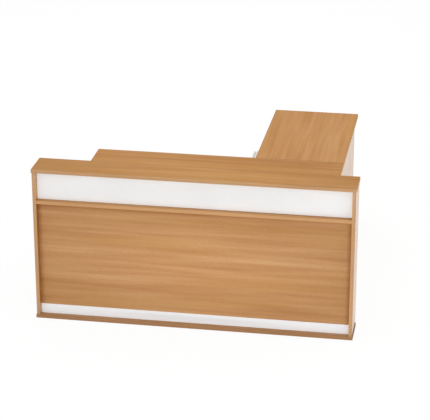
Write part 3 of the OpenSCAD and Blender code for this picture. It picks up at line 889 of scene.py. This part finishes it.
def angle_screws():
    """Screws through both legs of the two link angles, into the divider, the gable and the desk top."""
    low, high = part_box("link_angles")
    leg = high.z - low.z
    middle_z = (low.z + high.z - ANGLE_T) / 2
    places = []
    for side, edge in ((-1, low.x), (1, high.x)):
        inner = edge - side * ANGLE_T
        for end in SIDE_SCREW_ENDS:
            for y in (low.y + end, high.y - end):
                places.append(((inner, y, middle_z), (-side, 0, 0)))
        middle_x = edge - side * (leg + ANGLE_T) / 2
        for end in TOP_SCREW_ENDS:
            places.append(((middle_x, high.y - end, high.z - ANGLE_T), (0, 0, -1)))
    return places


# Bolt covers

BOLT_IN = 34 * MM
STRETCHER_BOLTS = (60 * MM, 240 * MM)
SIDE_BOLTS = (130 * MM, 380 * MM, 630 * MM)


def bolt_covers():
    """Covers over connecting bolts, near the stretcher's ends and on the inner face of the side panel."""
    places = []
    low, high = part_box("desk_stretcher")
    for x in (low.x + BOLT_IN, high.x - BOLT_IN):
        for rise in STRETCHER_BOLTS:
            places.append(((x, high.y, low.z + rise), (0, 1, 0)))
    low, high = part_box("return_side_panel")
    for y in (low.y + BOLT_IN, high.y - BOLT_IN):
        for rise in SIDE_BOLTS:
            places.append(((low.x, y, low.z + rise), (-1, 0, 0)))
    return places


# Drawer bumpers and tray screws

BUMPER_IN = 30 * MM
TRAY_WALL = 12 * MM
TRAY_SCREW_IN = 70 * MM
TRAY_SCREW_RISE = 0.62


def bumper_places():
    """Bumpers on the front edges of the pedestal's sides, near the ends of each drawer front."""
    places = []
    for drawer in DRAWERS:
        front_low, front_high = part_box(drawer + "_drawer_front")
        for board in ("pedestal_desk_side", "pedestal_end_side"):
            low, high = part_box(board)
            for z in (front_low.z + BUMPER_IN, front_high.z - BUMPER_IN):
                places.append(((low.x, (low.y + high.y) / 2, z), (-1, 0, 0)))
    return places


def tray_screws(drawer):
    """Screws inside a tray that hold its front."""
    low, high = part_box(drawer + "_drawer_tray")
    z = low.z + TRAY_SCREW_RISE * (high.z - low.z)
    return [((low.x + TRAY_WALL, y, z), (1, 0, 0)) for y in (low.y + TRAY_SCREW_IN, high.y - TRAY_SCREW_IN)]


# Threads of the levelling feet

STEM_R = 4.0 * MM
THREAD_TOP_R = 4.6 * MM
THREAD_PITCH = 1.25 * MM
THREAD_LENGTH = 6.6 * MM
THREAD_FLANK = 0.42 * THREAD_PITCH
THREAD_CREST = 0.12 * THREAD_FLANK
THREAD_STEPS = 24


def foot_thread(foot):
    """The thread on the stretch of a foot's stem that shows between its hexagon and the gable."""
    low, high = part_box("foot_" + foot)
    middle = (low + high) / 2
    root = STEM_R - SINK
    section = (
        (root, -THREAD_FLANK),
        (THREAD_TOP_R, -THREAD_CREST),
        (THREAD_TOP_R, THREAD_CREST),
        (root, THREAD_FLANK),
    )
    turns = (THREAD_LENGTH - 2 * THREAD_FLANK) / THREAD_PITCH

    def draw(mesh):
        rings = []
        for i in range(int(turns * THREAD_STEPS) + 1):
            angle = 2 * math.pi * i / THREAD_STEPS
            rise = HEX_TOP + THREAD_FLANK + THREAD_PITCH * i / THREAD_STEPS
            rings.append([(r * math.cos(angle), r * math.sin(angle), rise + h) for r, h in section])
        loft(mesh, rings, Matrix.Translation((middle.x, middle.y, low.z)))

    make_piece("thread_" + foot, draw, zinc_turned, "foot_" + foot + "_turn")


# Making of the small fittings

screws("counter_block_screws", block_screws("counter_corner_blocks"), "counter")
screws("desk_block_screws", block_screws("desk_corner_blocks"), "counter")
screws("link_angle_screws", angle_screws(), "counter")
spread("bolt_covers", cover_cap, bolt_covers(), cover_foil, "counter")
spread("drawer_bumpers", bumper, bumper_places(), bumper_plastic, "counter")
for drawer in DRAWERS:
    screws(drawer + "_tray_screws", tray_screws(drawer), drawer + "_drawer")
for foot in FEET:
    foot_thread(foot)

# Light and floor

scene.view_settings.view_transform = "Standard"

# The strength of the even light, and the floor: its size, its shade, its white and how much shadow it shows
SKY_LIGHT = 0.74
FLOOR_SIZE = 40.0
FLOOR_SHADE = srgb(225, 225, 225)
FLOOR_WHITE = 0.93
SHADOW_SHARE = (*even(0.08), 1.0)

# Square soft boxes: their places, what they face, the length of their sides and their power in watts
Lamp = namedtuple("Lamp", "name place target size power")
LAMPS = (
    Lamp("key", (0.45, -5.0, 1.4), (0.1, -1.0, 0.5), 2.0, 52),
    Lamp("side_fill", (3.6, -0.2, 1.3), (0.9, -0.5, 0.5), 1.5, 18),
    Lamp("overhead", (0.1, -1.0, 2.8), (0.1, -0.9, 0.8), 1.0, 5),
    Lamp("back_fill", (-2.6, 4.5, 3.2), (0.2, 0.2, 0.5), 2.4, 60),
)


def looking(direction):
    """The rotation of a lamp or a camera that looks along a direction."""
    return direction.to_track_quat("-Z", "Y").to_euler()


def seen_directly(tree):
    """1 for a ray from the camera, a mirror or a clear piece, 0 for a ray that gathers light."""
    path = add(tree, "ShaderNodeLightPath").outputs
    glossy = maths(tree, "MAXIMUM", path["Is Glossy Ray"], path["Is Transmission Ray"])
    return maths(tree, "MAXIMUM", path["Is Camera Ray"], glossy)


def make_world():
    """A white surround to look at, and even light at a plain level."""
    world = bpy.data.worlds.new("studio")
    world.use_nodes = True
    tree = world.node_tree
    strength = ramp(tree, seen_directly(tree), 0.0, 1.0, SKY_LIGHT, 1.0)
    background = tree.nodes["Background"]
    background.inputs["Color"].default_value = WHITE
    tree.links.new(strength, background.inputs["Strength"])
    scene.world = world


def floor_material():
    """Pale to the light that falls on it, and white with a faint shadow to look at."""
    material = bpy.data.materials.new("floor")
    material.use_nodes = True
    tree = material.node_tree
    tree.nodes.clear()
    diffuse = add(tree, "ShaderNodeBsdfDiffuse", {"Color": FLOOR_SHADE}).outputs[0]
    white = add(tree, "ShaderNodeEmission", {"Strength": FLOOR_WHITE}).outputs[0]
    shadow = add(tree, "ShaderNodeBsdfDiffuse", {"Color": SHADOW_SHARE}).outputs[0]
    shown = add(tree, "ShaderNodeAddShader", {0: white, 1: shadow}).outputs[0]
    mixed = add(tree, "ShaderNodeMixShader", {0: seen_directly(tree), 1: diffuse, 2: shown}).outputs[0]
    add(tree, "ShaderNodeOutputMaterial", {"Surface": mixed})
    return material


def make_floor():
    """A pale floor that looks white and keeps a faint shadow of the object."""
    mesh = bmesh.new()
    bmesh.ops.create_grid(mesh, x_segments=1, y_segments=1, size=FLOOR_SIZE / 2)
    data = bpy.data.meshes.new("floor")
    mesh.to_mesh(data)
    mesh.free()
    data.materials.append(floor_material())
    floor = bpy.data.objects.new("floor", data)
    scene.collection.objects.link(floor)


def make_lamp(lamp):
    """A soft box that lights the object and isn't seen itself."""
    light = bpy.data.lights.new(lamp.name, "AREA")
    light.shape = "SQUARE"
    light.size = lamp.size
    light.energy = lamp.power
    box = bpy.data.objects.new(lamp.name, light)
    box.location = lamp.place
    box.rotation_euler = looking(Vector(lamp.target) - Vector(lamp.place))
    box.visible_camera = False
    box.visible_glossy = False
    scene.collection.objects.link(box)


# Camera

# Where it stands, seen from the point that it looks at, and its lens and sensor in millimetres
AZIMUTH = math.radians(9.56)
ELEVATION = math.radians(21.85)
DISTANCE = 10.881
LOOK_AT = Vector((0.1439, -1.0439, 0.8104))
LENS = 150.52
SENSOR = 36.0
CLIP_END = 100


def make_camera():
    """The photograph's view: from the front, a little to the right and above."""
    level = math.cos(ELEVATION)
    back = Vector((math.sin(AZIMUTH) * level, -math.cos(AZIMUTH) * level, math.sin(ELEVATION)))
    data = bpy.data.cameras.new("camera")
    data.lens = LENS
    data.sensor_width = SENSOR
    data.sensor_fit = "HORIZONTAL"
    data.clip_end = CLIP_END
    camera = bpy.data.objects.new("camera", data)
    camera.location = LOOK_AT + DISTANCE * back
    camera.rotation_euler = looking(-back)
    scene.collection.objects.link(camera)
    scene.camera = camera


make_world()
make_floor()
for lamp in LAMPS:
    make_lamp(lamp)
make_camera()
